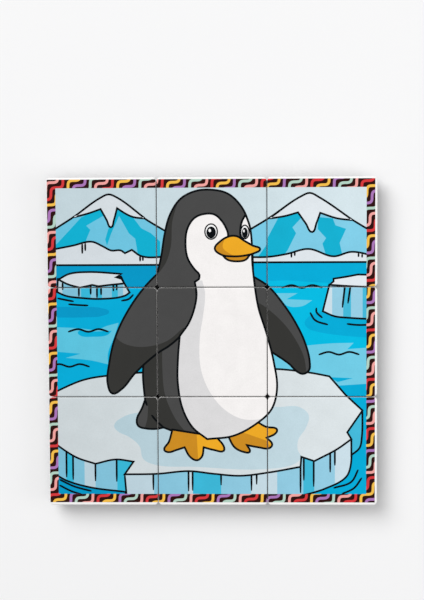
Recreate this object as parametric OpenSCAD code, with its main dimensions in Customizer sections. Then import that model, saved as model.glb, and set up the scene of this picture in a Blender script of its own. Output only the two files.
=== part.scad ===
// Frameless magnetic sliding tile puzzle: nine hollow tiles on a slotted steel-backed base.
// Origin: centre of the rest face, on the underside of the non-slip pad. +Z up, units in mm.

/* [Tiles] */
// Distance from one tile's centre to the next
pitch = 40; // [36:1:44]
// Gap between two neighbouring tiles
tile_gap = 0.3; // [0.2:0.05:0.5]
// Height of a tile's white cap
cap_h = 5.1; // [4.8:0.1:6]
// Radius of a cap's upright corners
corner_r = 1.3; // [0.8:0.1:2]
// Radius of the rounding round a cap's top
top_r = 0.5; // [0.3:0.1:0.7]

/* [Base] */
// How far the base sits in from the tiles' outer edge
base_inset = 1.25; // [1:0.05:2]
// Width of the channels that guide the tiles
channel_w = 8; // [7:0.5:9]
// Depth of the channels
channel_d = 1.3; // [1.1:0.1:1.5]
// Thickness of the base cover
cover_t = 1.3; // [1.2:0.1:2]
// Thickness of the steel plate
steel_t = 0.5; // [0.4:0.1:0.6]
// Side of the square non-slip pad
pad_w = 90; // [70:1:92]

/* [Magnets and screws] */
// Diameter of a tile's disc magnet
magnet_d = 6; // [5:0.5:6]
// Thickness of a tile's disc magnet
magnet_t = 2; // [1.5:0.1:2]
// Shank diameter of a cover screw
screw_d = 1.6; // [1.4:0.1:2]
// Head diameter of a cover screw
screw_head_d = 3.8; // [3.4:0.1:4]

/* [Hidden] */
$fn = 48;
eps = 0.01;

// Cells of the 3 by 3 array: name, column and row, counted from the centre
CELLS = [
    ["top_left", -1, 1], ["top", 0, 1], ["top_right", 1, 1],
    ["left", -1, 0], ["centre", 0, 0], ["right", 1, 0],
    ["bottom_left", -1, -1], ["bottom", 0, -1], ["bottom_right", 1, -1]
];

BASE_NODES = ["base_tray", "base_cover", "steel_plate", "cover_screws", "non_slip_pad"];
CAP_NODES = [for (c = CELLS) str("cap_", c[0])];
GLIDE_NODES = [for (c = CELLS) str("glide_", c[0])];
MAGNET_NODES = [for (c = CELLS) str("magnet_", c[0])];

// Heights, from the rest face upwards
pad_t = 1.0;
pad_recess = 0.5;
cover_z = pad_t - pad_recess;
tray_z = cover_z + cover_t;
steel_z = tray_z;
tray_floor_t = 0.8;
channel_z = steel_z + steel_t + tray_floor_t;
island_top_z = channel_z + channel_d;
running_gap = 0.1;
cap_z = island_top_z + running_gap;
cap_top_z = cap_z + cap_h;

// Base plan
tile_w = pitch - tile_gap;
array_w = 2 * pitch + tile_w;
base_w = array_w - 2 * base_inset;
base_corner_r = 2;
island_corner_r = 1.5;
tray_wall = 2.6;
steel_w = base_w - 2 * tray_wall - 0.2;
part_play = 0.1;
screw_pos = base_w / 2 - 7.1;
boss_d = 6;
screw_head_h = 1.1;
screw_len = 3.2;
slot_w = 0.5;
slot_depth = 0.4;

// Cap and glide
skirt_t = 1.2;
wall_t = 2.0;
roof_t = 1.6;
rib_t = 1.2;
rib_h = 1.5;
post_d = 9;
glide_plate_t = 1.2;
glide_play = 0.05;
ledge_z = cap_z + glide_plate_t;
roof_z = cap_top_z - roof_t;
boss_play = 0.15;
guide_w = channel_w - 2 * boss_play;
guide_corner_r = 0.8;
magnet_play = 0.05;
magnet_z = channel_z + running_gap + 0.4;

// A square outline with round corners, centred on the origin
module round_square(w, r) {
    square([w - 2 * r, w], center = true);
    square([w, w - 2 * r], center = true);
    for (x = [-1, 1], y = [-1, 1])
        translate([x * (w / 2 - r), y * (w / 2 - r)]) circle(r);
}

// A rectangle with round corners, from its lowest to its highest corner
module round_rect(lo, hi, r) {
    translate([lo[0] + r, lo[1]]) square([hi[0] - lo[0] - 2 * r, hi[1] - lo[1]]);
    translate([lo[0], lo[1] + r]) square([hi[0] - lo[0], hi[1] - lo[1] - 2 * r]);
    for (x = [lo[0] + r, hi[0] - r], y = [lo[1] + r, hi[1] - r])
        translate([x, y]) circle(r);
}

// Half a section through a block whose top edge is rounded by edge_r
module rounded_half_section(half_w, h, edge_r) {
    square([half_w, h - edge_r]);
    square([half_w - edge_r, h]);
    translate([half_w - edge_r, h - edge_r]) circle(edge_r);
}

// A block with round upright corners and a rounded top edge, standing on z = 0
module rounded_top_block(w, h, r, edge_r) {
    for (x = [-1, 1], y = [-1, 1])
        translate([x * (w / 2 - r), y * (w / 2 - r), 0])
            rotate_extrude() intersection() {
                rounded_half_section(r, h, edge_r);
                square([r, h]);
            }
    for (a = [0, 90])
        rotate([90, 0, a])
            linear_extrude(height = w - 2 * r, center = true)
                for (m = [0, 1]) mirror([m, 0]) rounded_half_section(w / 2, h, edge_r);
}

// Puts its children at a cell's centre
module at_cell(cell) {
    translate([cell[1] * pitch, cell[2] * pitch, 0]) children();
}

module at_screws() {
    for (x = [-1, 1], y = [-1, 1])
        translate([x * screw_pos, y * screw_pos, 0]) children();
}

// White hollow cap: the picture is printed on its top
module cap(cell) color("white") at_cell(cell) {
    difference() {
        translate([0, 0, cap_z]) rounded_top_block(tile_w, cap_h, corner_r, top_r);
        translate([0, 0, cap_z - eps])
            linear_extrude(height = glide_plate_t + eps)
                round_square(tile_w - 2 * skirt_t, corner_r);
        translate([0, 0, ledge_z - eps])
            linear_extrude(height = roof_z - ledge_z + eps)
                round_square(tile_w - 2 * wall_t, corner_r);
    }
    translate([0, 0, ledge_z]) cylinder(d = post_d, h = roof_z - ledge_z + eps);
    for (a = [0, 90])
        rotate(a) translate([0, 0, roof_z - rib_h / 2])
            cube([tile_w - 2 * wall_t + eps, rib_t, rib_h + eps], center = true);
}

// Black plate that closes the cap from below, with the guide block that rides in the channels
module glide(cell) color([0.1, 0.1, 0.11]) at_cell(cell) difference() {
    union() {
        translate([0, 0, cap_z])
            linear_extrude(height = glide_plate_t)
                round_square(tile_w - 2 * (skirt_t + glide_play), corner_r);
        translate([0, 0, channel_z + running_gap])
            linear_extrude(height = cap_z - channel_z)
                round_square(guide_w, guide_corner_r);
    }
    translate([0, 0, magnet_z])
        cylinder(d = magnet_d + 2 * magnet_play, h = ledge_z - magnet_z + eps);
}

// Disc magnet, shut between the glide and the cap's post
module magnet(cell) color("silver") at_cell(cell) translate([0, 0, magnet_z])
    rotate_extrude() {
        magnet_edge = 0.2;
        square([magnet_d / 2, magnet_t - magnet_edge]);
        square([magnet_d / 2 - magnet_edge, magnet_t]);
    }

// Black tray: sixteen islands leave three channels each way, open at the edges
module base_tray() color([0.08, 0.08, 0.09]) {
    edge = base_w / 2;
    half_c = channel_w / 2;
    spans = [
        [-edge, -pitch - half_c], [-pitch + half_c, -half_c],
        [half_c, pitch - half_c], [pitch + half_c, edge]
    ];
    difference() {
        union() {
            translate([0, 0, tray_z])
                linear_extrude(height = channel_z - tray_z)
                    round_square(base_w, base_corner_r);
            for (sx = spans, sy = spans)
                translate([0, 0, channel_z - eps])
                    linear_extrude(height = channel_d + eps)
                        round_rect([sx[0], sy[0]], [sx[1], sy[1]], island_corner_r);
        }
        difference() {
            translate([0, 0, tray_z - eps])
                linear_extrude(height = steel_t + part_play + eps)
                    round_square(steel_w + 0.2, base_corner_r);
            at_screws() translate([0, 0, tray_z - 2 * eps])
                cylinder(d = boss_d, h = steel_t + part_play + 3 * eps);
        }
        at_screws() translate([0, 0, tray_z - eps])
            cylinder(d = screw_d + 0.04, h = screw_len - cover_t + 0.4);
    }
}

// Steel sheet under the tray, which the magnets pull on
module steel_plate() color([0.6, 0.62, 0.65]) difference() {
    translate([0, 0, steel_z])
        linear_extrude(height = steel_t) round_square(steel_w, base_corner_r);
    at_screws() translate([0, 0, steel_z - eps])
        cylinder(d = boss_d + 0.6, h = steel_t + 2 * eps);
}

// Bottom cover, with a recess for the pad and four countersunk screw holes
module base_cover() color([0.08, 0.08, 0.09]) difference() {
    translate([0, 0, cover_z])
        linear_extrude(height = cover_t) round_square(base_w, base_corner_r);
    translate([0, 0, cover_z - eps])
        linear_extrude(height = pad_recess + eps)
            round_square(pad_w + 0.4, base_corner_r);
    at_screws() {
        translate([0, 0, cover_z - eps])
            cylinder(d = screw_d + 0.4, h = cover_t + 2 * eps);
        translate([0, 0, cover_z - eps])
            cylinder(d1 = screw_head_d + 0.2, d2 = screw_d + 0.2, h = screw_head_h + 2 * eps);
    }
}

// Four flat-headed screws, driven from below
module cover_screws() color("silver") at_screws() translate([0, 0, cover_z]) difference() {
    union() {
        cylinder(d1 = screw_head_d, d2 = screw_d, h = screw_head_h);
        cylinder(d = screw_d, h = screw_len);
    }
    for (a = [0, 90])
        rotate(a) translate([0, 0, slot_depth / 2 - eps])
            cube([screw_head_d * 0.6, slot_w, slot_depth], center = true);
}

// Rubber sheet that the puzzle rests on
module non_slip_pad() color([0.2, 0.2, 0.22])
    linear_extrude(height = pad_t) round_square(pad_w, base_corner_r);

base_tray();
base_cover();
steel_plate();
cover_screws();
non_slip_pad();
for (i = [0 : len(CELLS) - 1]) {
    cap(CELLS[i]);
    glide(CELLS[i]);
    magnet(CELLS[i]);
}
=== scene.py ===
"""Looks of a sliding puzzle: nine printed tiles on a slotted base, with their stage.

The picture is drawn in millimetres, on the plane of the tiles' tops, centred on the middle tile.
In a list of points, (x, y) is passed smoothly and (x, y, 1) is a sharp corner.
"""

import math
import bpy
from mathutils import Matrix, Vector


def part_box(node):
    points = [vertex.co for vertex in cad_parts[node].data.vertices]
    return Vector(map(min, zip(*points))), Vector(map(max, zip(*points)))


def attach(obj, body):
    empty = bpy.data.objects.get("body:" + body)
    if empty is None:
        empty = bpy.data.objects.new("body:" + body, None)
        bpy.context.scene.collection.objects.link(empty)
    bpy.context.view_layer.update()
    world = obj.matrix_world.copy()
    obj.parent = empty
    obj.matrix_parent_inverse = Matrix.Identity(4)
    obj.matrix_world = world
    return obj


bl_info = {
    "name": "Nine-tile sliding puzzle",
    "version": (1, 0, 0),
    "blender": (4, 5, 0),
    "location": "View3D > Sidebar > Puzzle",
    "description": "Prints the tiles' picture and finishes the plastics, metals and stage",
    "category": "Object",
}

import bpy
import numpy as np
from bpy.props import FloatProperty, FloatVectorProperty, PointerProperty
from mathutils import Vector
from mathutils.geometry import delaunay_2d_cdt

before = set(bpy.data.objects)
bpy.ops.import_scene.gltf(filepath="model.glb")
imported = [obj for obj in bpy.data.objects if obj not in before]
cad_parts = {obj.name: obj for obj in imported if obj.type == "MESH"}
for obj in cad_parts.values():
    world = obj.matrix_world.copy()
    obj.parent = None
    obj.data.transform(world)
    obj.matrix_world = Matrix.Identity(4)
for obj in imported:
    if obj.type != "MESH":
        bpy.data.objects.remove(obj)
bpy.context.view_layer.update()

MM = 0.001
CELLS = [name.removeprefix("cap_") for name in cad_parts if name.startswith("cap_")]
CAP_LOW, CAP_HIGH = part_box("cap_centre")
TILE_HALF = (CAP_HIGH.x - CAP_LOW.x) / 2 / MM
TILE_TOP = CAP_HIGH.z / MM
TILE_CORNER_R = 1.3
TILE_TOP_R = 0.5
# Insets, in mm, where a film's mesh is cut so that it bends with the tile's edge
FILM_RINGS = (0.18, 0.32, TILE_TOP_R, 0.62)


def paint(red, green, blue):
    """A colour's linear values from its usual 0 to 255 ones."""
    shares = [value / 255 for value in (red, green, blue)]
    return tuple(s / 12.92 if s < 0.04045 else ((s + 0.055) / 1.055) ** 2.4 for s in shares)


PALETTE = {
    "line": paint(5, 9, 13),
    "sky": paint(203, 219, 225),
    "mountain": paint(117, 198, 225),
    "mountain_shade": paint(15, 174, 207),
    "snow": paint(217, 224, 229),
    "sea": paint(0, 170, 214),
    "deep_sea": paint(0, 150, 197),
    "bright_sea": paint(0, 186, 225),
    "shallow_sea": paint(102, 198, 224),
    "pale_ice": paint(193, 214, 224),
    "ice": paint(138, 197, 220),
    "blue_ice": paint(60, 182, 214),
    "floe": paint(211, 219, 222),
    "melt": paint(186, 209, 218),
    "coat": paint(72, 72, 72),
    "coat_shade": paint(52, 52, 50),
    "front": paint(243, 240, 239),
    "front_shade": paint(218, 217, 218),
    "beak": paint(236, 169, 37),
    "beak_shade": paint(202, 139, 33),
    "eye_white": paint(245, 245, 245),
    "border": paint(45, 15, 12),
}
RIBBON_COLOURS = [
    paint(243, 190, 78),
    paint(170, 118, 182),
    paint(178, 208, 193),
    paint(240, 163, 158),
    paint(212, 57, 60),
]


class PuzzlePictureSettings(bpy.types.PropertyGroup):
    """Sizes and main colours of the printed picture"""

    print_size: FloatVectorProperty(
        name="Print size", description="Width and height of the print, in mm",
        size=2, default=(118.65, 118.0), min=100, max=119)
    border_width: FloatProperty(
        name="Border width", description="Width of the ribbon border, in mm",
        default=3.1, min=1, max=8)
    print_shift: FloatVectorProperty(
        name="Print shift", description="How far off the middle the print sits, in mm",
        size=2, default=(-0.33, 0.18), min=-1, max=1)
    scenery_line: FloatProperty(
        name="Scenery line", description="Width of the lines round the scenery, in mm",
        default=0.72, min=0.2, max=1)
    figure_line: FloatProperty(
        name="Figure line", description="Width of the lines round the penguin, in mm",
        default=0.76, min=0.2, max=1)
    fade: FloatProperty(
        name="Fade", description="How much paler the scenery gets from left to right, per mm",
        default=0.005, min=0, max=0.01)
    sky: FloatVectorProperty(
        name="Sky", description="Colour of the sky", subtype="COLOR", default=PALETTE["sky"])
    sea: FloatVectorProperty(
        name="Sea", description="Colour of the sea", subtype="COLOR", default=PALETTE["sea"])
    coat: FloatVectorProperty(
        name="Coat", description="Colour of the penguin's back", subtype="COLOR",
        default=PALETTE["coat"])
    beak: FloatVectorProperty(
        name="Beak", description="Colour of the beak and feet", subtype="COLOR",
        default=PALETTE["beak"])


class PuzzleFilmSettings(bpy.types.PropertyGroup):
    """The layer of ink on each tile"""

    lift: FloatProperty(
        name="Lift", description="Height of the ink over the plastic", default=0.03 * MM,
        subtype="DISTANCE", unit="LENGTH", precision=6)
    thickness: FloatProperty(
        name="Thickness", description="Thickness of the ink", default=0.02 * MM,
        subtype="DISTANCE", unit="LENGTH", precision=6)
    margin: FloatProperty(
        name="Margin", description="Bare plastic between the ink and a tile's side",
        default=0.06 * MM, subtype="DISTANCE", unit="LENGTH", precision=6)


class PuzzleStageSettings(bpy.types.PropertyGroup):
    """Camera, lights and floor"""

    camera_place: FloatVectorProperty(
        name="Camera", description="Where the camera stands", subtype="TRANSLATION",
        unit="LENGTH", default=(0.0189, 0.0589, 0.6122))
    camera_turn: FloatVectorProperty(
        name="Camera turn", description="How the camera is turned from looking straight down",
        subtype="EULER", unit="ROTATION",
        default=(math.radians(-4.136), math.radians(1.776), math.radians(-0.283)))
    lens: FloatProperty(
        name="Lens", description="Focal length, in mm", default=100, min=20, max=300)
    key_direction: FloatVectorProperty(
        name="Key direction", description="From the puzzle towards the key light",
        subtype="DIRECTION", default=(-0.55, 0.72, 1.0))
    key_distance: FloatProperty(
        name="Key distance", description="From the puzzle to the key light", default=2.87,
        subtype="DISTANCE", unit="LENGTH")
    key_width: FloatProperty(
        name="Key width", description="Side of the square key light", default=1.87,
        subtype="DISTANCE", unit="LENGTH")
    key_power: FloatProperty(
        name="Key power", description="Power of the key light, in watts", default=57,
        min=0, subtype="POWER", unit="POWER")
    fill_place: FloatVectorProperty(
        name="Fill", description="Where the fill light stands", subtype="TRANSLATION",
        unit="LENGTH", default=(0.45, -0.05, 0.35))
    fill_width: FloatProperty(
        name="Fill width", description="Side of the square fill light", default=0.3,
        subtype="DISTANCE", unit="LENGTH")
    fill_power: FloatProperty(
        name="Fill power", description="Power of the fill light, in watts", default=0.45,
        min=0, subtype="POWER", unit="POWER")
    ambient: FloatProperty(
        name="Ambient", description="Strength of the light from all round", default=0.49,
        min=0, max=2)


# Lines and loops of the drawing


def flowing(points, closed=True, step=0.8):
    """A line that runs smoothly through the points and turns sharply at their corners."""
    spots = np.array([point[:2] for point in points], float)
    sharp = [len(point) > 2 for point in points]
    if not closed:
        sharp[0] = sharp[-1] = True
    count = len(spots)
    ahead = np.roll(spots, -1, axis=0) - spots
    unit = ahead / np.linalg.norm(ahead, axis=1)[:, None]
    turned = unit + np.roll(unit, 1, axis=0)
    heading = turned / np.linalg.norm(turned, axis=1)[:, None]
    line = []
    for i in range(count if closed else count - 1):
        j = (i + 1) % count
        length = np.linalg.norm(ahead[i])
        pieces = 1 if sharp[i] and sharp[j] else max(2, math.ceil(length / step))
        leave = unit[i] if sharp[i] else heading[i]
        arrive = unit[i] if sharp[j] else heading[j]
        t = (np.arange(pieces) / pieces)[:, None]
        line.extend(
            (1 + 2 * t) * (1 - t) ** 2 * spots[i] + t * (1 - t) ** 2 * length * leave
            + t ** 2 * (3 - 2 * t) * spots[j] - t ** 2 * (1 - t) * length * arrive)
    if not closed:
        line.append(spots[-1])
    return np.array(line)


def outward(loop):
    """The loop, run counterclockwise."""
    x, y = loop.T
    area = (x * np.roll(y, -1) - y * np.roll(x, -1)).sum()
    return loop if area > 0 else loop[::-1]


def beside(line, distance, closed=True):
    """The line moved to its right: outwards, for a counterclockwise loop."""
    sharpest_mitre = 0.35
    ahead = np.roll(line, -1, axis=0) - line
    if not closed:
        ahead[-1] = ahead[-2]
    ahead = ahead / np.linalg.norm(ahead, axis=1)[:, None]
    behind = np.roll(ahead, 1, axis=0)
    if not closed:
        behind[0] = ahead[0]
    turned = np.maximum(1 + (ahead * behind).sum(axis=1), sharpest_mitre)
    mitre = (ahead + behind) / turned[:, None]
    right = np.stack([mitre[:, 1], -mitre[:, 0]], axis=1)
    return line + right * np.reshape(distance, (-1, 1))


def oval(x, y, half_width, half_height, count=28):
    """An upright oval round (x, y)."""
    turn = np.arange(count) * 2 * math.pi / count
    return np.stack([x + half_width * np.cos(turn), y + half_height * np.sin(turn)], axis=1)


def cut_to_window(loop, window):
    """What of the loop lies in the window (left, bottom, right, top)."""
    left, bottom, right, top = window
    for axis, limit, side in ((0, left, 1), (0, right, -1), (1, bottom, 1), (1, top, -1)):
        kept = []
        for here, there in zip(loop, np.roll(loop, -1, axis=0)):
            here_in = (here[axis] - limit) * side >= 0
            if here_in:
                kept.append(here)
            if here_in != ((there[axis] - limit) * side >= 0):
                share = (limit - here[axis]) / (there[axis] - here[axis])
                kept.append(here + (there - here) * share)
        if len(kept) < 3:
            return None
        loop = np.array(kept)
    return loop


def within(loop, spots):
    """Which of the spots lie inside the loop."""
    found = np.zeros(len(spots), bool)
    near = np.flatnonzero(((spots >= loop.min(0)) & (spots <= loop.max(0))).all(axis=1))
    x, y = spots[near, 0, None], spots[near, 1, None]
    (ax, ay), (bx, by) = loop.T, np.roll(loop, -1, axis=0).T
    spans = (ay > y) != (by > y)
    rise = np.where(by == ay, 1, by - ay)
    crossings = (spans & (x < ax + (y - ay) * (bx - ax) / rise)).sum(axis=1)
    found[near] = crossings % 2 == 1
    return found


class Drawing:
    """Flat shapes in paint order: a loop, its colour, the loop it stays in and its fade."""

    def __init__(self, window, line_width, colours):
        self.shapes = []
        self.window = window
        self.line_width = line_width
        self.colours = colours
        self.fade = 0

    def add(self, loop, colour, inside=None):
        loop = cut_to_window(loop, self.window)
        if loop is not None:
            value = self.colours[colour] if isinstance(colour, str) else colour
            self.shapes.append((loop, tuple(value), inside, self.fade))

    def plain(self, points, colour, inside=None):
        """A shape with no line round it."""
        self.add(flowing(points), colour, inside)

    def outlined(self, points, colour):
        """A shape with a line round it. Returns the loop inside the line."""
        loop = outward(flowing(points))
        inner = beside(loop, -self.line_width / 2)
        self.add(beside(loop, self.line_width / 2), "line")
        self.add(inner, colour)
        return inner

    def line(self, points):
        """An open line, a little thinner at its ends."""
        end_width, straight_spots = 0.6, 7
        path = flowing(points, closed=False)
        if len(path) < 4:
            path = np.linspace(path[0], path[-1], straight_spots)
        steps = np.linalg.norm(np.diff(path, axis=0), axis=1)
        along = np.concatenate([[0], np.cumsum(steps)])
        to_end = np.minimum(along, along[-1] - along)
        swell = np.clip(to_end / self.line_width, 0, 1)
        half = self.line_width / 2 * (end_width + (1 - end_width) * swell)
        right, left = beside(path, half, False), beside(path, -half, False)
        self.add(np.vstack([right, left[::-1]]), "line")

    def facets(self, edges, last, bottom, top, inside):
        """Upright stripes of ice from one edge to the next, kept inside a wall."""
        rights = [edge[0] for edge in edges[1:]] + [last]
        for (left, colour), right in zip(edges, rights):
            self.plain([(left, bottom, 1), (right, bottom, 1), (right, top, 1), (left, top, 1)],
                       colour, inside)


# The picture


def draw_border(drawing, outer, inner, centre):
    """Ribbons that step diagonally across the border, in five colours."""
    pitch, wave_length, sway, width = 2.6, 6.22, 0.98, 0.98
    across_start, along_start, step = 1.2, 0.25, 0.45
    along, across = np.array([1, 1]) / math.sqrt(2), np.array([1, -1]) / math.sqrt(2)
    (far_x, far_y), (near_x, near_y) = outer, inner
    bands = [(-far_x, near_y, far_x, far_y), (-far_x, -far_y, far_x, -near_y),
             (-far_x, -near_y, -near_x, near_y), (near_x, -near_y, far_x, near_y)]
    for band in bands:
        drawing.window = tuple(np.add(band, centre + centre))
        left, bottom, right, top = drawing.window
        corners = np.array([(left, bottom), (right, bottom), (right, top), (left, top)])
        reach = corners @ across
        for k in range(math.floor(reach.min() / pitch) - 1, math.ceil(reach.max() / pitch) + 2):
            base = across * (k * pitch + across_start)
            low = max(left - pitch - base[0], bottom - pitch - base[1]) * math.sqrt(2)
            high = min(right + pitch - base[0], top + pitch - base[1]) * math.sqrt(2)
            if high <= low:
                continue
            s = np.linspace(low, high, max(4, math.ceil((high - low) / step)))[:, None]
            wave = np.sin(2 * math.pi * (s - along_start) / wave_length)
            path = base + along * s + across * sway * wave
            right_side = beside(path, width / 2, False)
            left_side = beside(path, -width / 2, False)
            drawing.add(np.vstack([right_side, left_side[::-1]]),
                        RIBBON_COLOURS[k % len(RIBBON_COLOURS)])


def draw_mountain(drawing, slope, facets, cap):
    """Rock with darker facets under a cap of snow."""
    rock = drawing.outlined(slope, "mountain")
    for facet in facets:
        drawing.plain(facet, "mountain_shade", rock)
    drawing.outlined(cap, "snow")


def draw_left_mountain(drawing):
    draw_mountain(
        drawing,
        [(-59, 40, 1), (-50, 45.7), (-40, 52.7), (-37.3, 53.8), (-34.5, 52.8), (-24.5, 45.2),
         (-15, 39.4, 1), (-15, 27.5, 1), (-59, 27.5, 1)],
        [[(-59, 33.5, 1), (-56, 36.2, 1), (-51, 41.5, 1), (-47.3, 45.5, 1), (-40, 49, 1),
          (-39, 46.2, 1), (-45.5, 42.5, 1), (-44, 41, 1), (-45.5, 37.5, 1), (-45.5, 33, 1)],
         [(-37, 42, 1), (-34.2, 48.5, 1), (-33.5, 46, 1), (-36.5, 39.5, 1), (-38, 35.2, 1),
          (-38.6, 37.5, 1), (-37.5, 41.2, 1)],
         [(-34.2, 48.7, 1), (-28.5, 45.5, 1), (-25.5, 41.5, 1), (-22, 39.7, 1), (-18.7, 36.7, 1),
          (-18.7, 30, 1), (-26.5, 30, 1), (-27.7, 37.7, 1), (-30, 39.7, 1), (-33.5, 46, 1)]],
        [(-50.2, 45.5, 1), (-40, 52.7), (-37.3, 53.8), (-34.5, 52.8), (-24, 45, 1), (-28.5, 45.6),
         (-31.5, 47), (-34.2, 48.8, 1), (-35.4, 44.5), (-36.5, 41.9), (-38, 44.5), (-40.2, 48.5, 1),
         (-44.5, 47)])


def draw_right_mountain(drawing):
    draw_mountain(
        drawing,
        [(12.7, 40.2, 1), (20.7, 45), (32.5, 52.9), (35.5, 54), (38.7, 52.5), (50.7, 44.3),
         (59, 39.3, 1), (59, 27.5, 1), (12.7, 27.5, 1)],
        [[(24.3, 45.5, 1), (31.3, 47, 1), (32.5, 45.2, 1), (29.2, 41.6, 1), (30.5, 39.5, 1),
          (27.5, 33.5, 1), (25, 30, 1), (16, 30, 1), (20.3, 36, 1), (20, 37.5, 1)],
         [(38.5, 45.3, 1), (43.7, 44.8, 1), (44.7, 42.3, 1), (48.5, 41, 1), (46.2, 36, 1),
          (47.5, 30, 1), (41.7, 30, 1), (40, 35.7, 1), (41.3, 37.7, 1), (38.3, 41, 1)]],
        [(20.7, 44.8, 1), (32.5, 52.9), (35.5, 54), (38.7, 52.5), (51, 44.1, 1), (45.3, 44.8),
         (39.2, 46.8, 1), (37.8, 43), (36.3, 39.9), (34, 43), (31.2, 47, 1), (26.5, 45.7)])


def draw_shores(drawing):
    """The snowy shores below the mountains, with their icicles."""
    drawing.outlined([
        (-60, 33.5, 1), (-50.5, 35.3), (-43.5, 36.7), (-39.5, 35), (-36.5, 33.5), (-33, 33.5),
        (-31.5, 32.5, 1), (-29, 33.7, 1), (-25.5, 31.4), (-15, 31.3, 1), (-15, 28.2, 1),
        (-60, 28.2, 1)], "snow")
    drawing.outlined([
        (10, 31, 1), (20.5, 31), (27, 32), (35, 33.8), (44, 31.1), (50.5, 32.7), (60, 30.8, 1),
        (60, 29, 1), (10, 29, 1)], "snow")
    icicles = [(-47, 36, 3.6), (-45.9, 36.2, 2.8), (-26, 31.6, 2.1), (-25, 31.4, 1.7),
               (28.8, 32.6, 1.9), (30, 33, 1.7), (53, 32.3, 1.5), (54.3, 31.9, 1.3)]
    for x, y, length in icicles:
        drawing.line([(x, y), (x, y - length)])


def draw_sea(drawing):
    """The sea with its brighter, deeper and shallower patches, and four waves."""
    drawing.plain([(-60, 28.2, 1), (-15, 28.2, 1), (-15, 29, 1), (60, 29, 1), (60, -60, 1),
                   (-60, -60, 1)], "sea")
    bright = [
        [(10, 20, 1), (60, 20, 1), (60, -60, 1), (10, -60, 1)],
        [(20.5, 22.2, 1), (28.5, 22.4), (33, 22), (42, 21.5, 1), (42, 19, 1), (20.5, 19, 1)],
    ]
    deep = [
        [(-60, 28.2, 1), (-15, 28.2, 1), (-15, 21.5, 1), (-30, 20), (-45, 20.3), (-60, 22, 1)],
        [(-60, 13, 1), (-48, 13), (-40, 12.5), (-37.4, 11.2), (-40, 9.7), (-46, 9.2),
         (-60, 9.2, 1)],
        [(-60, -45, 1), (-30, -54, 1), (-30, -60, 1), (-60, -60, 1)],
    ]
    plain_sea = [
        [(-49, 3.7), (-43, 4), (-36.5, 4.3, 1), (-38, 2.8), (-43.5, 2.1), (-48, 2.5)],
        [(33.5, 7), (35, 9.2), (39.5, 11.2, 1), (60, 8.5, 1), (60, 1.3, 1), (46, 2.5), (38, 3.8),
         (34.5, 5.2)],
        [(42.5, -12.8, 1), (51, -13.2, 1), (45.5, -14.6, 1)],
        [(44, -16, 1), (60, -15, 1), (60, -60, 1), (30, -60, 1)],
    ]
    shallow = [
        [(-60, 5.7, 1), (-48.5, 5.2), (-42, 4.4, 1), (-38.5, 6, 1), (-34, 7.2, 1), (-35.5, 2.5),
         (-38, -4), (-38, -8, 1), (-44, -6.6), (-53.5, -5.6, 1), (-48, -4.1, 1), (-60, -3.1, 1)],
        [(22.5, 17.8, 1), (31, 17.8, 1), (27, 15.6, 1), (36.3, 15.2, 1), (33, 13.2), (29, 12.8),
         (27, 13.3, 1)],
        [(30, -1.7, 1), (43, -0.5), (51.3, -0.3, 1), (49, -2.6, 1), (60, -1.8, 1), (60, -17.5, 1),
         (20, -17.5, 1), (20, -3.5, 1)],
    ]
    for patches, colour in ((bright, "bright_sea"), (deep, "deep_sea"),
                            (shallow, "shallow_sea"), (plain_sea, "sea")):
        for points in patches:
            drawing.plain(points, colour)
    crest_step, crest_height = 3.7, 0.5
    for left, y in ((-52.5, 4.4), (-59.5, -8.4), (25.2, 20.2), (38.6, -4.1)):
        drawing.line([(left + i * crest_step, y + (crest_height if i % 2 else -crest_height))
                      for i in range(5)])


def draw_bergs(drawing):
    """A low iceberg on the left and the end of one on the right."""
    wall = drawing.outlined([
        (-56, 23.2, 1), (-56.3, 18.4, 1), (-53, 17), (-48, 16.3), (-40.5, 15.9), (-31.5, 17.1),
        (-29.9, 18.2, 1), (-31.8, 21.5, 1), (-33, 24, 1), (-45, 24, 1)], "pale_ice")
    drawing.facets([(-54.4, "ice"), (-47.6, "blue_ice"), (-44.1, "ice"), (-41.5, "blue_ice"),
                    (-40, "ice"), (-36.4, "blue_ice"), (-34.2, "ice")], -32.3, 14, 25, wall)
    for x, y in ((-54.3, 19.2), (-48.4, 16.8), (-44.1, 17.5), (-41.8, 16.3), (-40.3, 17.3),
                 (-35.8, 18.7), (-34.6, 19)):
        drawing.line([(x, 22), (x, y)])
    drawing.outlined([
        (-55.8, 23, 1), (-52, 25), (-45, 25.7), (-32.8, 25, 1), (-34.8, 23.8, 1),
        (-32.8, 23.2, 1), (-31.8, 21.5, 1), (-37, 21), (-41.3, 20.5, 1), (-43.5, 21, 1),
        (-48, 20, 1), (-52.5, 21.3)], "snow")
    for ripple in ([(-56.3, 16.2), (-53.5, 15.6), (-50.3, 15)],
                   [(-52.3, 14), (-49, 13.7), (-45, 13.5)],
                   [(-33, 15.2), (-30.3, 15.8), (-28.5, 17.5)]):
        drawing.line(ripple)
    wall = drawing.outlined([
        (42.5, 20.8, 1), (40.1, 11.2, 1), (44.3, 9.4), (49.5, 8.8), (60, 8.2, 1), (60, 21, 1)],
        "pale_ice")
    drawing.facets([(43.5, "ice"), (47.5, "blue_ice"), (50.3, "ice"), (54.5, "blue_ice")], 56.5,
                   5, 22, wall)
    for x, y in ((47.2, 12.5), (49.2, 14)):
        drawing.line([(x + 1, 21), (x, y)])
    drawing.outlined([
        (44, 23, 1), (48.5, 23.7), (52.8, 24.5, 1), (60, 24.3, 1), (60, 19.8, 1), (49.5, 20.3),
        (42.5, 20.8, 1), (44, 22, 1)], "snow")
    for ripple in ([(37.8, 12.5), (37.8, 11), (40, 8.8)], [(35.5, 10.8), (37.3, 8), (42, 6.3)],
                   [(48.8, 6.6), (52.5, 6.2), (58, 6.3)]):
        drawing.line(ripple)


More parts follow.
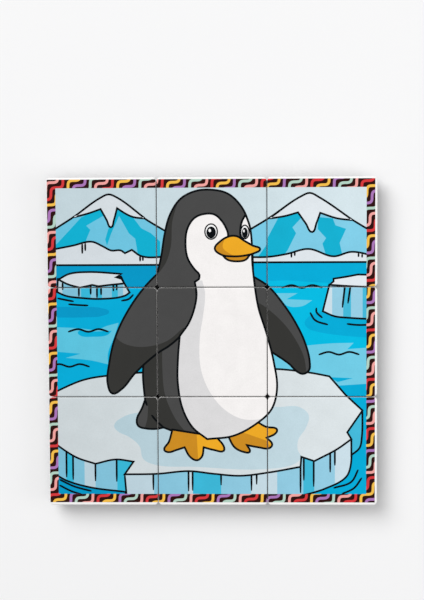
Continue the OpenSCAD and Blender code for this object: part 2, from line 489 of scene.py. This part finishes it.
def draw_floe(drawing):
    """The ice floe: its walls, its top and the melt water on it."""
    wall = drawing.outlined([
        (-60, -36, 1), (-60, -46.8, 1), (-54.3, -50.5), (-45.5, -53.2), (-32, -55, 1),
        (-32, -60, 1), (31, -60, 1), (31, -56.7, 1), (41, -53.7), (48.7, -49.3), (50.2, -45.5),
        (50.5, -35.5, 1), (20, -38, 1)], "pale_ice")
    drawing.facets([
        (-60, "ice"), (-53.7, "blue_ice"), (-51, "ice"), (-47, "pale_ice"), (-43, "ice"),
        (-35, "blue_ice"), (-28.5, "pale_ice"), (-21.5, "ice"), (-9, "pale_ice"),
        (-7.3, "blue_ice"), (3, "ice"), (14, "pale_ice"), (23.5, "ice"), (33, "blue_ice"),
        (37, "ice"), (44.5, "pale_ice")], 50.5, -60, -34, wall)
    drawing.plain([(-32.3, -48.4, 1), (-28, -48.4, 1), (-28, -60, 1), (-31.5, -60, 1)],
                  "pale_ice", wall)
    drawing.line([(-32.3, -48.4), (-31.6, -57)])
    for x, y in ((-53.6, -49.6), (-51.2, -50.5), (-43, -51), (-35.2, -51.2),
                 (-21.8, -54.3), (-8.9, -54.7), (-7.4, -54.5), (3, -52.5), (14.1, -54.5),
                 (16, -52.2), (32, -55.3), (33.2, -50.7), (36.8, -53), (42.8, -47.7),
                 (44.5, -45.2)):
        drawing.line([(x, -38), (x, y)])
    drawing.outlined([
        (54.5, -25, 1), (54.3, -34.7), (53.5, -38.7), (50.5, -41.4, 1), (50.5, -35.5, 1),
        (49, -33, 1)], "blue_ice")
    top = drawing.outlined([
        (-60, -19.3, 1), (-47, -13.7), (-37, -12), (-25, -11), (-6, -10.5), (23, -9.8),
        (35.7, -11.2), (42.5, -12.5, 1), (48.3, -19.2, 1), (54.5, -25, 1), (49, -33, 1),
        (50.5, -35.5, 1), (45.3, -39.2), (37, -43.6, 1), (32.3, -42, 1), (32, -45.7, 1),
        (20.3, -47.8), (10, -49), (0.5, -48.3), (-8.8, -47.3), (-20.3, -48.3), (-32.3, -48.5, 1),
        (-29, -43.8, 1), (-35.5, -43), (-43, -44.6, 1), (-50, -42.2), (-60, -35.5, 1)], "floe")
    drawing.plain([
        (-36, -30.5), (-32, -27), (-23.5, -25.3), (2, -21.7), (23.7, -23.7), (31.5, -23.7),
        (35, -26.7), (34, -31.3), (31.2, -35.7), (31, -39.5), (32.2, -42.2), (30, -44.5),
        (19.5, -46.5), (-6.5, -45.7), (-22, -44.7), (-25.5, -42.7), (-26.7, -38.2),
        (-30.5, -34.7), (-34.7, -32.6)], "melt", top)
    for ripple in ([(-56.3, -50.4), (-50.8, -53), (-44.5, -54.7)],
                   [(-56.3, -52.5), (-52, -54.7), (-48, -56)],
                   [(53, -46.7), (50.5, -51.2), (44, -53.5)],
                   [(54.3, -49.7), (51.5, -53.5), (47, -55.7)]):
        drawing.line(ripple)


def draw_feet(drawing):
    """The two webbed feet."""
    left = drawing.outlined([
        (-14.7, -32, 1), (-16, -36.5), (-17.7, -39.5), (-16.2, -40.3), (-13.3, -39.5),
        (-10.3, -38.5, 1), (-8.3, -42), (-5.8, -43.3), (-4, -42), (-3.3, -38.5, 1), (0.5, -39.5),
        (4, -39.8), (4.2, -38.7), (1.2, -34.5, 1)], "beak")
    right = drawing.outlined([
        (5.5, -34, 1), (8, -38.5), (11.3, -40.2), (13.5, -40.2), (12.5, -37.7, 1), (16.7, -38.5),
        (20.7, -38.8), (21.7, -37.5), (19.7, -35, 1), (23, -33.3), (23.5, -32), (19.5, -31),
        (16, -29, 1), (9.3, -30, 1)], "beak")
    drawing.plain([(-18.5, -30, 1), (-6, -30, 1), (-5.3, -44.5, 1), (-18.5, -44.5, 1)],
                  "beak_shade", left)
    drawing.plain([(4, -31, 1), (11, -33, 1), (19.5, -36, 1), (23, -41, 1), (4, -42, 1)],
                  "beak_shade", right)


def draw_body(drawing):
    """The far wing, the trunk and the tail."""
    wing = drawing.outlined([
        (14.5, 24.2, 1), (20.3, 20.4), (26.3, 13.2), (30, 7.5), (33.6, 0), (35.4, -7.5),
        (35.1, -10.3), (33, -11.6), (31, -10.9), (28, -8), (21.5, -3.5, 1), (18, 5),
        (15, 16, 1)], "coat")
    drawing.plain([(13.5, 15, 1), (17, 14.2), (20.5, 11.9), (26.5, 6.2), (30.5, 0.5), (33.3, -5.5),
                   (34.3, -12.5, 1), (19.5, -12.5, 1)], "coat_shade", wing)
    trunk = drawing.outlined([
        (-19, 24, 1), (-6, 26.5, 1), (0.5, -35.5, 1), (-4.8, -34.9), (-10.8, -33.9),
        (-14.9, -32.4), (-17.9, -31.2, 1), (-20.3, -31.7), (-24.2, -31.6), (-27.2, -30.6),
        (-27.7, -28.4), (-25.7, -24), (-24.6, -21, 1), (-25, -17), (-25.3, -12.2),
        (-24.8, -4, 1)], "coat")
    drawing.plain([(-27, -2, 1), (-18.2, -2, 1), (-18.2, -9.7), (-17.4, -18.7), (-15.4, -24.4),
                   (-12.8, -29.2), (-7, -36, 1), (-26, -36, 1), (-23.8, -28, 1), (-23.5, -23.5, 1),
                   (-27, -20, 1)], "coat_shade", trunk)
    for crease in ([(-24.6, -21), (-23.9, -23.2)], [(-22.3, -26.6), (-20.3, -29), (-17.9, -31.2)]):
        drawing.line(crease)


def draw_head(drawing):
    """The near wing and the back of the head."""
    near_wing = drawing.outlined([
        (-13, 30.3, 1), (-19.2, 25.5), (-25, 19.5), (-31.5, 10), (-35.5, 1.2), (-37.6, -7.7),
        (-38.2, -15.2), (-36.5, -18.7), (-33, -17), (-28.2, -11.3), (-19.7, -3.8), (-16, -1.5),
        (-12.2, 1.7), (-7.5, 7.8), (-5.7, 15), (-6, 22, 1), (-4.2, 24, 1), (-7, 27.5, 1)], "coat")
    drawing.plain([(-36.5, 5.3, 1), (-34.2, 1), (-29.8, -1.2), (-23.5, -1.5), (-16.5, 0.5),
                   (-10.5, 5.3, 1), (-6.2, 5.3, 1), (-18.2, -7, 1), (-35.7, -22, 1),
                   (-41, -18, 1)], "coat_shade", near_wing)
    crown = [(-19.8, 25, 1), (-18.4, 31), (-17, 39.5), (-15.2, 46), (-11.3, 52), (-6, 54.8),
             (0, 55.3), (6, 53.8), (11, 48.8), (13.7, 42), (14.6, 34), (15, 23, 1)]
    skull = flowing(crown + [(-6, 20, 1), (-17, 21.5, 1)])
    drawing.add(skull, "coat")
    drawing.plain([(-12, 51.5, 1), (-14.2, 44), (-14.8, 35), (-16.5, 29.3), (-19, 25.5, 1),
                   (-22, 26, 1), (-19, 38, 1), (-15.5, 49, 1)], "coat_shade", skull)
    drawing.line(crown)


def draw_front(drawing):
    """The white face and belly."""
    front = drawing.outlined([
        (-1.7, 46.7), (-6, 45.3), (-8.7, 41.5), (-9.5, 35.8), (-8.7, 30.5), (-6.3, 26.6),
        (-4.5, 24.5), (-4.7, 23, 1), (-6.2, 22, 1), (-5.6, 17.5), (-6.4, 12.5), (-8.5, 7),
        (-11.8, 2.3, 1), (-12.5, -6), (-12.6, -15), (-10.8, -24.7), (-7.2, -31.3), (-2, -35.5, 1),
        (7.5, -34.3), (16, -29.8), (21.5, -24.5), (23.5, -17), (22.3, -7), (19.8, 3),
        (16.8, 12.7), (15.2, 23.3), (14.6, 30), (14.5, 36), (13.8, 42), (12.3, 46.3, 1),
        (10.9, 43.7), (10.3, 39.5), (10.7, 36), (8, 34.8, 1), (6.3, 37), (5.7, 40.3), (3.7, 44),
        (1.2, 46.3)], "front")
    drawing.plain([
        (-10.3, 22.5, 1), (-3.5, 22.5, 1), (-2.5, 18), (-3.3, 9.5), (-4.5, 1.7), (-4.2, -9.5),
        (-1.2, -17.7), (4, -24.3), (10.5, -28), (16, -28.3), (24.5, -26, 1), (19.5, -39, 1),
        (-18.5, -39, 1), (-18.2, 4.3, 1)], "front_shade", front)


def draw_eye(drawing, x, y, half_width, half_height):
    """A plain cartoon eye: a white oval, a dark pupil and one glint."""
    rim = 0.5
    narrow = half_width / half_height
    radius = half_height * 0.86
    glint = half_height * 0.24
    pupil_drop, glint_left, glint_up = 0.3, 0.6, 0.4
    drawing.add(oval(x, y, half_width + rim, half_height + rim), "line")
    drawing.add(oval(x, y, half_width, half_height), "eye_white")
    drawing.add(oval(x, y - pupil_drop, radius * narrow, radius), "line")
    drawing.add(oval(x - glint_left * narrow, y + glint_up, glint * narrow, glint, 16),
                "eye_white")


def draw_face(drawing):
    """Both eyes and the bill."""
    draw_eye(drawing, -0.2, 40.2, 2.0, 2.5)
    draw_eye(drawing, 12.0, 40.0, 1.25, 2.2)
    drawing.outlined([(3.5, 32.2, 1), (5.5, 30.1), (9, 29.4), (12.3, 30), (13.8, 31.8, 1),
                      (8.5, 32.5, 1)], "beak_shade")
    bill = drawing.outlined([
        (1.1, 34), (3, 36.6), (6.5, 38.5), (9, 38.5), (12, 36.7), (15, 35), (17.5, 33.8),
        (15.5, 32.4), (12, 31.5), (8, 31.2), (3.5, 31.8)], "beak")
    drawing.plain([(0.7, 36, 1), (4.7, 37.5, 1), (4, 34.5), (6, 32.5), (9.3, 31, 1), (2.5, 30, 1),
                   (0, 32.8, 1)], "beak_shade", bill)


def draw_picture(settings):
    """The whole print, as shapes in paint order."""
    colours = dict(PALETTE, sky=settings.sky, sea=settings.sea, coat=settings.coat,
                   beak=settings.beak)
    centre = np.array(settings.print_shift)
    outer = np.array(settings.print_size) / 2
    inner = outer - settings.border_width
    beyond = [(-60, -60, 1), (60, -60, 1), (60, 60, 1), (-60, 60, 1)]
    drawing = Drawing((*(centre - outer), *(centre + outer)), settings.figure_line, colours)
    drawing.plain(beyond, "border")
    draw_border(drawing, outer, inner, tuple(centre))
    drawing.window = (*(centre - inner), *(centre + inner))
    drawing.line_width = settings.scenery_line
    drawing.fade = settings.fade
    drawing.plain(beyond, "sky")
    draw_left_mountain(drawing)
    draw_right_mountain(drawing)
    draw_sea(drawing)
    draw_shores(drawing)
    draw_bergs(drawing)
    draw_floe(drawing)
    drawing.line_width = settings.figure_line
    drawing.fade = 0
    draw_body(drawing)
    draw_feet(drawing)
    draw_head(drawing)
    draw_front(drawing)
    draw_face(drawing)
    return drawing.shapes


# The printed films


def tile_outline(centre, inset):
    """A tile's outline with its round corners, moved in by an inset."""
    radius = TILE_CORNER_R - inset
    reach = TILE_HALF - TILE_CORNER_R
    turn = np.linspace(0, math.pi / 2, 7)
    loop = []
    for quarter, (x, y) in enumerate(((1, 1), (-1, 1), (-1, -1), (1, -1))):
        angle = turn + quarter * math.pi / 2
        arc = np.stack([np.cos(angle), np.sin(angle)], axis=1) * radius
        loop.extend(arc + (centre[0] + x * reach, centre[1] + y * reach))
    return np.array(loop)


def tile_inset(spots, centre):
    """How far in from the tile's outline each spot is, and which way is outwards."""
    offset = spots - centre
    corner = np.abs(offset) - (TILE_HALF - TILE_CORNER_R)
    beyond = np.maximum(corner, 0)
    inset = TILE_CORNER_R - np.hypot(*beyond.T) - np.minimum(corner.max(axis=1), 0)
    nearest = corner == corner.max(axis=1)[:, None]
    out = np.where((corner > 0).all(axis=1)[:, None], beyond, nearest) * np.sign(offset)
    return inset, out / np.maximum(np.hypot(*out.T), 1e-9)[:, None]


def film_surface(spots, centre, lift):
    """Spots laid on the tile's top and its rounded edge, a lift over the plastic, in metres."""
    inset, out = tile_inset(spots, centre)
    steepest = 0.999
    lean = np.clip(1 - inset / TILE_TOP_R, 0, steepest)
    up = np.sqrt(1 - lean ** 2)
    height = TILE_TOP - TILE_TOP_R * (1 - up) + lift * up
    flat = spots + out * (lean * lift)[:, None]
    return np.column_stack([flat, height]) * MM


def triangulate(loops):
    """Triangles that keep to every loop's line."""
    whole_hull, merge_within = 0, 1e-4
    spots, edges = [], []
    for loop in loops:
        first, count = len(spots), len(loop)
        spots.extend(Vector(spot) for spot in loop)
        edges.extend((first + i, first + (i + 1) % count) for i in range(count))
    found = delaunay_2d_cdt(spots, edges, [], whole_hull, merge_within)
    return np.array([spot[:] for spot in found[0]]), np.array(found[2])


def colour_triangles(spots, triangles, shapes):
    """The colour painted last on each triangle, at its corners, and whether it has any."""
    corners = spots[triangles]
    middles = corners.mean(axis=1)
    colours = np.ones((len(triangles), 3, 4), np.float32)
    painted = np.zeros(len(triangles), bool)
    for loop, colour, inside, fade in shapes:
        hit = within(loop, middles)
        if inside is not None:
            hit &= within(inside, middles)
        whiteness = min(colour) * (1 - min(colour))
        colours[hit, :, :3] = colour + fade * whiteness * corners[hit, :, :1]
        painted |= hit
    return middles, colours, painted


def deselect_all():
    bpy.ops.object.select_all(action="DESELECT")


def make_film(cell, spots, triangles, colours, centre, settings):
    """One tile's ink, as a closed thin film with a colour on each face corner."""
    used, faces = np.unique(triangles, return_inverse=True)
    faces = faces.reshape(triangles.shape)
    places = film_surface(spots[used], centre, settings.lift / MM)
    mesh = bpy.data.meshes.new(f"print_{cell}")
    mesh.from_pydata(places.tolist(), [], faces.tolist())
    ink = mesh.color_attributes.new("ink", "FLOAT_COLOR", "CORNER")
    ink.data.foreach_set("color", colours.ravel())
    film = bpy.data.objects.new(f"print_{cell}", mesh)
    bpy.context.scene.collection.objects.link(film)
    deselect_all()
    film.select_set(True)
    bpy.context.view_layer.objects.active = film
    body = film.modifiers.new("Ink", "SOLIDIFY")
    body.thickness = settings.thickness
    body.offset = -1
    bpy.ops.object.modifier_apply(modifier=body.name)
    bpy.ops.object.shade_smooth_by_angle(angle=math.radians(40))
    return film


def cell_centre(cell):
    """Where a tile's middle is, in mm."""
    low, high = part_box(f"cap_{cell}")
    return np.array([(low.x + high.x) / 2, (low.y + high.y) / 2]) / MM


# Materials


def new_group(name, inputs, outputs):
    """An empty shader node group: its tree, its input node and its output node."""
    tree = bpy.data.node_groups.new(name, "ShaderNodeTree")
    for label, kind, default in inputs:
        socket = tree.interface.new_socket(name=label, in_out="INPUT", socket_type=kind)
        if default is not None:
            socket.default_value = default
    for label, kind in outputs:
        tree.interface.new_socket(name=label, in_out="OUTPUT", socket_type=kind)
    return tree, tree.nodes.new("NodeGroupInput"), tree.nodes.new("NodeGroupOutput")


def add_node(tree, kind, links=None, **values):
    """A node with its properties, input values and links set by name."""
    node = tree.nodes.new(kind)
    for name, value in values.items():
        setattr(node, name, value)
    for name, source in (links or {}).items():
        socket = node.inputs[name]
        if isinstance(source, bpy.types.NodeSocket):
            tree.links.new(source, socket)
        else:
            socket.default_value = source
    return node


def moulded_surface_group():
    """Tone, roughness and height of a moulded or rolled surface."""
    tree, given, made = new_group("moulded_surface", [
        ("Grain Size", "NodeSocketFloat", 0.0004), ("Cloud Size", "NodeSocketFloat", 0.02),
        ("Tone Low", "NodeSocketFloat", 0.96), ("Tone High", "NodeSocketFloat", 1.0),
        ("Rough Low", "NodeSocketFloat", 0.4), ("Rough High", "NodeSocketFloat", 0.5),
        ("Stretch", "NodeSocketVector", (1, 1, 1))],
        [("Tone", "NodeSocketFloat"), ("Roughness", "NodeSocketFloat"),
         ("Height", "NodeSocketFloat")])
    place = add_node(tree, "ShaderNodeTexCoord").outputs["Object"]
    drawn = add_node(tree, "ShaderNodeVectorMath", {0: place, 1: given.outputs["Stretch"]},
                     operation="MULTIPLY").outputs[0]
    sizes = {}
    for name in ("Grain Size", "Cloud Size"):
        sizes[name] = add_node(tree, "ShaderNodeMath", {0: 1.0, 1: given.outputs[name]},
                               operation="DIVIDE").outputs[0]
    grain = add_node(tree, "ShaderNodeTexNoise", {
        "Vector": drawn, "Scale": sizes["Grain Size"], "Detail": 3.0, "Roughness": 0.6})
    cloud = add_node(tree, "ShaderNodeTexNoise", {
        "Vector": drawn, "Scale": sizes["Cloud Size"], "Detail": 4.0, "Roughness": 0.55})
    both = add_node(tree, "ShaderNodeMath",
                    {0: grain.outputs["Fac"], 1: cloud.outputs["Fac"]}, operation="ADD").outputs[0]
    for name, low, high in (("Tone", "Tone Low", "Tone High"),
                            ("Roughness", "Rough Low", "Rough High")):
        spread = add_node(tree, "ShaderNodeMapRange", {
            "Value": both, "From Min": 0.7, "From Max": 1.3,
            "To Min": given.outputs[low], "To Max": given.outputs[high]})
        tree.links.new(spread.outputs["Result"], made.inputs[name])
    tree.links.new(grain.outputs["Fac"], made.inputs["Height"])
    return tree


def scratches_group():
    """Fine hairline scratches, as a mask that is high on a scratch."""
    tree, given, made = new_group("hairline_scratches", [
        ("Spacing", "NodeSocketFloat", 0.003), ("Length", "NodeSocketFloat", 12.0)],
        [("Mask", "NodeSocketFloat")])
    place = add_node(tree, "ShaderNodeTexCoord").outputs["Object"]
    scale = add_node(tree, "ShaderNodeMath", {0: 1.0, 1: given.outputs["Spacing"]},
                     operation="DIVIDE").outputs[0]
    shrink = add_node(tree, "ShaderNodeMath", {0: 1.0, 1: given.outputs["Length"]},
                      operation="DIVIDE").outputs[0]
    masks = []
    for angle in (0.35, 1.9):
        turned = add_node(tree, "ShaderNodeVectorRotate", {"Vector": place, "Angle": angle},
                          rotation_type="Z_AXIS").outputs[0]
        stretch = add_node(tree, "ShaderNodeCombineXYZ",
                           {"X": shrink, "Y": 1.0, "Z": 1.0}).outputs[0]
        thin = add_node(tree, "ShaderNodeVectorMath", {0: turned, 1: stretch},
                        operation="MULTIPLY").outputs[0]
        noise = add_node(tree, "ShaderNodeTexNoise",
                         {"Vector": thin, "Scale": scale, "Detail": 2.0}).outputs["Fac"]
        masks.append(add_node(tree, "ShaderNodeMapRange", {
            "Value": noise, "From Min": 0.66, "From Max": 0.72}).outputs["Result"])
    most = add_node(tree, "ShaderNodeMath", {0: masks[0], 1: masks[1]}, operation="MAXIMUM")
    tree.links.new(most.outputs[0], made.inputs["Mask"])
    return tree


def shared_group(build, name):
    """The node group of that name, built the first time it is asked for."""
    return bpy.data.node_groups.get(name) or build()


def surfaced(name, colour, surface, bump=0.1, bump_height=0.00002, scratch=None, ink=None,
             **shader):
    """A material over the shared surface group.

    surface and shader hold the group's and the shader's own values. scratch is how much rougher
    a scratch is, and ink names the colour attribute that stands in for the colour.
    """
    material = bpy.data.materials.new(name)
    material.use_nodes = True
    tree = material.node_tree
    principled = tree.nodes["Principled BSDF"]
    for socket, value in shader.items():
        principled.inputs[socket.replace("_", " ")].default_value = value
    group = tree.nodes.new("ShaderNodeGroup")
    group.node_tree = shared_group(moulded_surface_group, "moulded_surface")
    for socket, value in surface.items():
        group.inputs[socket].default_value = value
    if ink:
        base = add_node(tree, "ShaderNodeAttribute", attribute_name=ink).outputs["Color"]
    else:
        base = (*colour, 1)
    toned = add_node(tree, "ShaderNodeMix", {
        "Factor": 1.0, 6: base, 7: group.outputs["Tone"]}, data_type="RGBA", blend_type="MULTIPLY")
    tree.links.new(toned.outputs[2], principled.inputs["Base Color"])
    roughness = group.outputs["Roughness"]
    if scratch:
        marks = tree.nodes.new("ShaderNodeGroup")
        marks.node_tree = shared_group(scratches_group, "hairline_scratches")
        added = add_node(tree, "ShaderNodeMath", {
            0: marks.outputs["Mask"], 1: scratch, 2: roughness}, operation="MULTIPLY_ADD")
        roughness = added.outputs[0]
    tree.links.new(roughness, principled.inputs["Roughness"])
    relief = add_node(tree, "ShaderNodeBump", {
        "Height": group.outputs["Height"], "Strength": bump, "Distance": bump_height})
    tree.links.new(relief.outputs["Normal"], principled.inputs["Normal"])
    return material


def printed_ink():
    """Matt ink whose colour comes from the film, a little uneven as ink is."""
    return surfaced("printed_ink", None, {
        "Grain Size": 0.0005, "Cloud Size": 0.006, "Tone Low": 0.95, "Tone High": 1.03,
        "Rough Low": 0.45, "Rough High": 0.58}, bump=0.08, ink="ink", Specular_IOR_Level=0.05)


def white_plastic():
    return surfaced("white_plastic", (0.93, 0.925, 0.915), {
        "Grain Size": 0.0006, "Cloud Size": 0.015, "Tone Low": 0.97, "Tone High": 1.0,
        "Rough Low": 0.3, "Rough High": 0.4}, bump=0.06, scratch=0.08)


def black_plastic():
    return surfaced("black_plastic", (0.012, 0.012, 0.014), {
        "Grain Size": 0.0003, "Cloud Size": 0.01, "Tone Low": 0.7, "Tone High": 1.4,
        "Rough Low": 0.5, "Rough High": 0.68}, bump=0.35, bump_height=0.00004, scratch=-0.15)


def sheet_steel():
    return surfaced("sheet_steel", (0.58, 0.59, 0.6), {
        "Grain Size": 0.0006, "Cloud Size": 0.012, "Tone Low": 0.86, "Tone High": 1.0,
        "Rough Low": 0.28, "Rough High": 0.42, "Stretch": (0.08, 1, 1)}, bump=0.12,
        scratch=0.12, Metallic=1.0)


def screw_steel():
    return surfaced("screw_steel", (0.66, 0.65, 0.62), {
        "Grain Size": 0.0002, "Cloud Size": 0.003, "Tone Low": 0.85, "Tone High": 1.0,
        "Rough Low": 0.22, "Rough High": 0.36}, bump=0.15, Metallic=1.0)


def nickel_plate():
    return surfaced("nickel_plate", (0.7, 0.67, 0.62), {
        "Grain Size": 0.0003, "Cloud Size": 0.004, "Tone Low": 0.93, "Tone High": 1.0,
        "Rough Low": 0.12, "Rough High": 0.22}, bump=0.05, scratch=0.2, Metallic=1.0)


def pad_rubber():
    return surfaced("pad_rubber", (0.03, 0.03, 0.033), {
        "Grain Size": 0.0007, "Cloud Size": 0.012, "Tone Low": 0.8, "Tone High": 1.2,
        "Rough Low": 0.78, "Rough High": 0.92}, bump=0.6, bump_height=0.0001)


def dress(node, material):
    """Gives a carried-over node its material on every slot."""
    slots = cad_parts[node].material_slots
    if not slots:
        raise RuntimeError(f"{node} has no material slot")
    for slot in slots:
        slot.material = material


# Operators


class PUZZLE_OT_print_films(bpy.types.Operator):
    """Draw the picture and print it on the nine tiles"""

    bl_idname = "puzzle.print_films"
    bl_label = "Print the tiles"

    def execute(self, context):
        settings = context.scene.puzzle_film
        shapes = draw_picture(context.scene.puzzle_picture)
        centres = {cell: cell_centre(cell) for cell in CELLS}
        margin = settings.margin / MM
        rings = [tile_outline(centre, inset) for centre in centres.values()
                 for inset in (margin, *FILM_RINGS)]
        spots, triangles = triangulate([shape[0] for shape in shapes] + rings)
        middles, colours, painted = colour_triangles(spots, triangles, shapes)
        material = printed_ink()
        for cell, centre in centres.items():
            mine = painted & (tile_inset(middles, centre)[0] > margin)
            if not mine.any():
                raise RuntimeError(f"the picture doesn't reach tile {cell}")
            film = make_film(cell, spots, triangles[mine], colours[mine], centre, settings)
            film.data.materials.append(material)
            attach(film, f"tile_{cell}")
        return {"FINISHED"}


class PUZZLE_OT_finish_tiles(bpy.types.Operator):
    """Finish the caps, glides and magnets"""

    bl_idname = "puzzle.finish_tiles"
    bl_label = "Finish the tiles"

    def execute(self, context):
        cap, glide, magnet = white_plastic(), black_plastic(), nickel_plate()
        for cell in CELLS:
            dress(f"cap_{cell}", cap)
            dress(f"glide_{cell}", glide)
            dress(f"magnet_{cell}", magnet)
        return {"FINISHED"}


class PUZZLE_OT_finish_base(bpy.types.Operator):
    """Finish the tray, cover, steel plate, screws and pad"""

    bl_idname = "puzzle.finish_base"
    bl_label = "Finish the base"

    def execute(self, context):
        moulding = bpy.data.materials.get("black_plastic") or black_plastic()
        dress("base_tray", moulding)
        dress("base_cover", moulding)
        dress("steel_plate", sheet_steel())
        dress("cover_screws", screw_steel())
        dress("non_slip_pad", pad_rubber())
        return {"FINISHED"}


class PUZZLE_OT_set_stage(bpy.types.Operator):
    """Lay the floor, light it and set the camera"""

    bl_idname = "puzzle.set_stage"
    bl_label = "Set the stage"

    def execute(self, context):
        settings = context.scene.puzzle_stage
        self.lay_floor()
        self.light(context, settings)
        data = bpy.data.cameras.new("camera")
        data.lens = settings.lens
        data.sensor_width = 36
        data.clip_start = 0.01
        camera = bpy.data.objects.new("camera", data)
        camera.location = settings.camera_place
        camera.rotation_euler = settings.camera_turn
        context.scene.collection.objects.link(camera)
        context.scene.camera = camera
        context.scene.view_settings.view_transform = "Standard"
        return {"FINISHED"}

    def lay_floor(self):
        """A plain pale floor."""
        floor_side = 6
        deselect_all()
        bpy.ops.mesh.primitive_plane_add(size=floor_side)
        floor = bpy.context.object
        floor.name = "floor"
        material = bpy.data.materials.new("pale_floor")
        material.use_nodes = True
        shader = material.node_tree.nodes["Principled BSDF"]
        shader.inputs["Base Color"].default_value = (0.9, 0.9, 0.905, 1)
        shader.inputs["Roughness"].default_value = 0.6
        shader.inputs["Specular IOR Level"].default_value = 0.2
        floor.data.materials.append(material)

    def light(self, context, settings):
        """Soft light from all round, a large key light and a small fill light."""
        world = bpy.data.worlds.new("studio")
        world.use_nodes = True
        background = world.node_tree.nodes["Background"]
        background.inputs["Color"].default_value = (1, 1, 1, 1)
        background.inputs["Strength"].default_value = settings.ambient
        context.scene.world = world
        key_place = Vector(settings.key_direction).normalized() * settings.key_distance
        self.soft_box(context, "key", key_place, settings.key_width, settings.key_power)
        self.soft_box(context, "fill", Vector(settings.fill_place), settings.fill_width,
                      settings.fill_power)

    def soft_box(self, context, name, place, width, power):
        """A square light that faces the puzzle."""
        data = bpy.data.lights.new(name, "AREA")
        data.size = width
        data.energy = power
        light = bpy.data.objects.new(name, data)
        light.location = place
        light.rotation_euler = place.to_track_quat("Z", "Y").to_euler()
        light.visible_camera = False
        context.scene.collection.objects.link(light)


class PUZZLE_PT_panel(bpy.types.Panel):
    """Shows the puzzle's settings and its operator buttons"""

    bl_idname = "PUZZLE_PT_panel"
    bl_label = "Sliding puzzle"
    bl_space_type = "VIEW_3D"
    bl_region_type = "UI"
    bl_category = "Puzzle"

    def draw(self, context):
        for name in ("puzzle_picture", "puzzle_film", "puzzle_stage"):
            settings = getattr(context.scene, name)
            box = self.layout.box()
            for field in type(settings).__annotations__:
                box.prop(settings, field)
        for operator in OPERATORS:
            self.layout.operator(operator.bl_idname)


OPERATORS = (
    PUZZLE_OT_print_films,
    PUZZLE_OT_finish_tiles,
    PUZZLE_OT_finish_base,
    PUZZLE_OT_set_stage,
)
CLASSES = (
    PuzzlePictureSettings,
    PuzzleFilmSettings,
    PuzzleStageSettings,
    *OPERATORS,
    PUZZLE_PT_panel,
)


def register():
    for item in CLASSES:
        bpy.utils.register_class(item)
    bpy.types.Scene.puzzle_picture = PointerProperty(type=PuzzlePictureSettings)
    bpy.types.Scene.puzzle_film = PointerProperty(type=PuzzleFilmSettings)
    bpy.types.Scene.puzzle_stage = PointerProperty(type=PuzzleStageSettings)


def unregister():
    del bpy.types.Scene.puzzle_stage
    del bpy.types.Scene.puzzle_film
    del bpy.types.Scene.puzzle_picture
    for item in reversed(CLASSES):
        bpy.utils.unregister_class(item)


def main():
    """Makes every piece and the stage."""
    register()
    bpy.ops.puzzle.print_films()
    bpy.ops.puzzle.finish_tiles()
    bpy.ops.puzzle.finish_base()
    bpy.ops.puzzle.set_stage()


if __name__ == "__main__":
    main()
